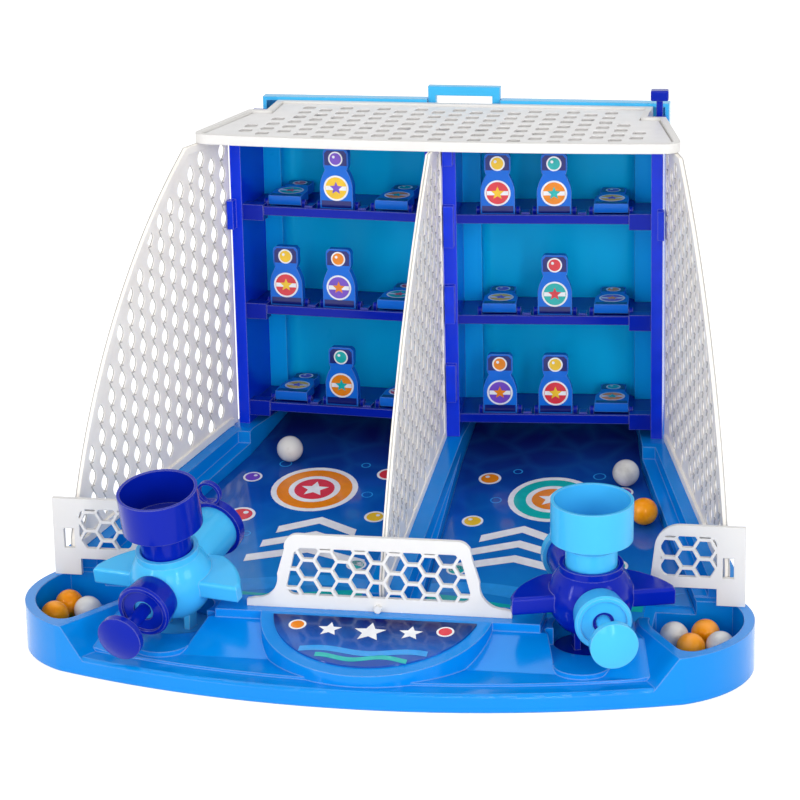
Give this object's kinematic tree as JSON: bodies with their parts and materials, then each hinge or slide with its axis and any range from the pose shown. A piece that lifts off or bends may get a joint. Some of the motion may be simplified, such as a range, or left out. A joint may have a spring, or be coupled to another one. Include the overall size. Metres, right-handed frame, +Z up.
{
  "type": "tabletop ball-shooting game",
  "caption": "Two-player tabletop ball-shooting game: tray base with sprung launchers, net-walled lanes and a cabinet of flip targets with reset levers.",
  "frame": {"origin": "middle of the footprint, on the table", "axes": "+Z up, +Y towards the cabinet's back, +X to the players' right"},
  "size_m": [0.4192, 0.376, 0.275],
  "materials": {
    "base_blue": "glossy moulded blue",
    "dark_blue": "glossy dark blue",
    "cyan": "glossy light blue",
    "panel_blue": "glossy mid blue",
    "net_white": "satin off-white",
    "print_navy": "coated printed card",
    "target_blue": "slightly clear blue",
    "orange": "glossy orange",
    "pearl": "pearl white",
    "steel": "plain steel"
  },
  "bodies": {
    "game": {"base_tray": "base_blue", "playfield_card_left": "print_navy", "playfield_card_right": "print_navy", "front_label": "print_navy", "cabinet_column_left": "dark_blue", "cabinet_column_right": "dark_blue", "shelves_left": "dark_blue", "shelves_right": "dark_blue", "back_panel_left": "panel_blue", "back_panel_right": "panel_blue", "side_net_left": "net_white", "side_net_right": "net_white", "divider_net": "net_white", "roof_net": "net_white", "fence_centre": "net_white", "fence_left": "net_white", "fence_right": "net_white", "rear_cover": "cyan", "case_screws": "steel", "balls_orange": "orange", "balls_white": "pearl"},
    "target_left_11": {"target_left_11": "target_blue"},
    "target_left_12": {"target_left_12": "target_blue"},
    "target_left_13": {"target_left_13": "target_blue"},
    "target_left_21": {"target_left_21": "target_blue"},
    "target_left_22": {"target_left_22": "target_blue"},
    "target_left_23": {"target_left_23": "target_blue"},
    "target_left_31": {"target_left_31": "target_blue"},
    "target_left_32": {"target_left_32": "target_blue"},
    "target_left_33": {"target_left_33": "target_blue"},
    "swivel_left": {"turntable_left": "cyan"},
    "head_left": {"launcher_body_left": "cyan", "hopper_left": "dark_blue", "collar_left": "dark_blue", "muzzle_ring_left": "dark_blue", "plunger_spring_left": "steel"},
    "plunger_left": {"plunger_left": "dark_blue"},
    "lever_left": {"reset_lever_left": "dark_blue"},
    "target_right_11": {"target_right_11": "target_blue"},
    "target_right_12": {"target_right_12": "target_blue"},
    "target_right_13": {"target_right_13": "target_blue"},
    "target_right_21": {"target_right_21": "target_blue"},
    "target_right_22": {"target_right_22": "target_blue"},
    "target_right_23": {"target_right_23": "target_blue"},
    "target_right_31": {"target_right_31": "target_blue"},
    "target_right_32": {"target_right_32": "target_blue"},
    "target_right_33": {"target_right_33": "target_blue"},
    "swivel_right": {"turntable_right": "dark_blue"},
    "head_right": {"launcher_body_right": "dark_blue", "hopper_right": "cyan", "collar_right": "cyan", "muzzle_ring_right": "cyan", "plunger_spring_right": "steel"},
    "plunger_right": {"plunger_right": "cyan"},
    "lever_right": {"reset_lever_right": "dark_blue"},
    "handle": {"carry_handle": "cyan"},
    "ball_white_lane_left": {"ball_white_lane_left": "pearl"},
    "ball_white_lane_right": {"ball_white_lane_right": "pearl"},
    "ball_orange_lane_right": {"ball_orange_lane_right": "orange"}
  },
  "joints": [
    {"name": "flip_left_11", "type": "hinge", "parent": "game", "child": "target_left_11", "pos_m": [-0.0331, 0.11088, 0.0813], "axis": [0.9963, -0.0854, 0], "range_deg": [0, 88]},
    {"name": "flip_left_12", "type": "hinge", "parent": "game", "child": "target_left_12", "pos_m": [-0.06747, 0.11383, 0.0813], "axis": [0.9963, -0.0854, 0], "range_deg": [-88, 0]},
    {"name": "flip_left_13", "type": "hinge", "parent": "game", "child": "target_left_13", "pos_m": [-0.10185, 0.11678, 0.0813], "axis": [0.9963, -0.0854, 0], "range_deg": [0, 88]},
    {"name": "flip_left_21", "type": "hinge", "parent": "game", "child": "target_left_21", "pos_m": [-0.0331, 0.11088, 0.1448], "axis": [0.9963, -0.0854, 0], "range_deg": [0, 88]},
    {"name": "flip_left_22", "type": "hinge", "parent": "game", "child": "target_left_22", "pos_m": [-0.06747, 0.11383, 0.1448], "axis": [0.9963, -0.0854, 0], "range_deg": [-88, 0]},
    {"name": "flip_left_23", "type": "hinge", "parent": "game", "child": "target_left_23", "pos_m": [-0.10185, 0.11678, 0.1448], "axis": [0.9963, -0.0854, 0], "range_deg": [-88, 0]},
    {"name": "flip_left_31", "type": "hinge", "parent": "game", "child": "target_left_31", "pos_m": [-0.0331, 0.11088, 0.2083], "axis": [0.9963, -0.0854, 0], "range_deg": [0, 88]},
    {"name": "flip_left_32", "type": "hinge", "parent": "game", "child": "target_left_32", "pos_m": [-0.06747, 0.11383, 0.2083], "axis": [0.9963, -0.0854, 0], "range_deg": [-88, 0]},
    {"name": "flip_left_33", "type": "hinge", "parent": "game", "child": "target_left_33", "pos_m": [-0.10185, 0.11678, 0.2083], "axis": [0.9963, -0.0854, 0], "range_deg": [0, 88]},
    {"name": "swivel_left", "type": "hinge", "parent": "game", "child": "swivel_left", "pos_m": [-0.119, -0.108, 0.0215], "axis": [0, 0, 1], "range_deg": [-9, 31]},
    {"name": "tilt_left", "type": "hinge", "parent": "swivel_left", "child": "head_left", "pos_m": [-0.119, -0.108, 0.0215], "axis": [0.9744, -0.225, 0], "range_deg": [-13, 1]},
    {"name": "pull_left", "type": "slide", "parent": "head_left", "child": "plunger_left", "axis": [-0.2192, -0.9494, -0.225], "range_m": [0, 0.018], "stiffness_N_per_m": 150, "springref_m": -0.01, "deforming": ["plunger_spring_left"]},
    {"name": "reset_left", "type": "slide", "parent": "game", "child": "lever_left", "axis": [0, 0, 1], "range_m": [0, 0.017]},
    {"name": "flip_right_11", "type": "hinge", "parent": "game", "child": "target_right_11", "pos_m": [0.0331, 0.11088, 0.0813], "axis": [0.9963, 0.0854, 0], "range_deg": [-88, 0]},
    {"name": "flip_right_12", "type": "hinge", "parent": "game", "child": "target_right_12", "pos_m": [0.06747, 0.11383, 0.0813], "axis": [0.9963, 0.0854, 0], "range_deg": [-88, 0]},
    {"name": "flip_right_13", "type": "hinge", "parent": "game", "child": "target_right_13", "pos_m": [0.10185, 0.11678, 0.0813], "axis": [0.9963, 0.0854, 0], "range_deg": [0, 88]},
    {"name": "flip_right_21", "type": "hinge", "parent": "game", "child": "target_right_21", "pos_m": [0.0331, 0.11088, 0.1448], "axis": [0.9963, 0.0854, 0], "range_deg": [0, 88]},
    {"name": "flip_right_22", "type": "hinge", "parent": "game", "child": "target_right_22", "pos_m": [0.06747, 0.11383, 0.1448], "axis": [0.9963, 0.0854, 0], "range_deg": [-88, 0]},
    {"name": "flip_right_23", "type": "hinge", "parent": "game", "child": "target_right_23", "pos_m": [0.10185, 0.11678, 0.1448], "axis": [0.9963, 0.0854, 0], "range_deg": [0, 88]},
    {"name": "flip_right_31", "type": "hinge", "parent": "game", "child": "target_right_31", "pos_m": [0.0331, 0.11088, 0.2083], "axis": [0.9963, 0.0854, 0], "range_deg": [-88, 0]},
    {"name": "flip_right_32", "type": "hinge", "parent": "game", "child": "target_right_32", "pos_m": [0.06747, 0.11383, 0.2083], "axis": [0.9963, 0.0854, 0], "range_deg": [-88, 0]},
    {"name": "flip_right_33", "type": "hinge", "parent": "game", "child": "target_right_33", "pos_m": [0.10185, 0.11678, 0.2083], "axis": [0.9963, 0.0854, 0], "range_deg": [0, 88]},
    {"name": "swivel_right", "type": "hinge", "parent": "game", "child": "swivel_right", "pos_m": [0.119, -0.108, 0.0215], "axis": [0, 0, 1], "range_deg": [-37, 3]},
    {"name": "tilt_right", "type": "hinge", "parent": "swivel_right", "child": "head_right", "pos_m": [0.119, -0.108, 0.0215], "axis": [0.9455, 0.3256, 0], "range_deg": [-5, 9]},
    {"name": "pull_right", "type": "slide", "parent": "head_right", "child": "plunger_right", "axis": [0.3243, -0.9419, -0.0872], "range_m": [0, 0.018], "stiffness_N_per_m": 150, "springref_m": -0.01, "deforming": ["plunger_spring_right"]},
    {"name": "reset_right", "type": "slide", "parent": "game", "child": "lever_right", "axis": [0, 0, 1], "range_m": [-0.017, 0]},
    {"name": "handle_fold", "type": "hinge", "parent": "game", "child": "handle", "pos_m": [0, 0.185, 0.247], "axis": [1, 0, 0], "range_deg": [-85, 0]},
    {"name": "roll_white_lane_left", "type": "slide", "parent": "game", "child": "ball_white_lane_left", "axis": [0, -0.9824, -0.1867], "range_m": [0, 0.11]},
    {"name": "roll_white_lane_right", "type": "slide", "parent": "game", "child": "ball_white_lane_right", "axis": [0, -0.9824, -0.1867], "range_m": [0, 0.095]},
    {"name": "roll_orange_lane_right", "type": "slide", "parent": "game", "child": "ball_orange_lane_right", "axis": [0, -0.9824, -0.1867], "range_m": [0, 0.065]}
  ]
}
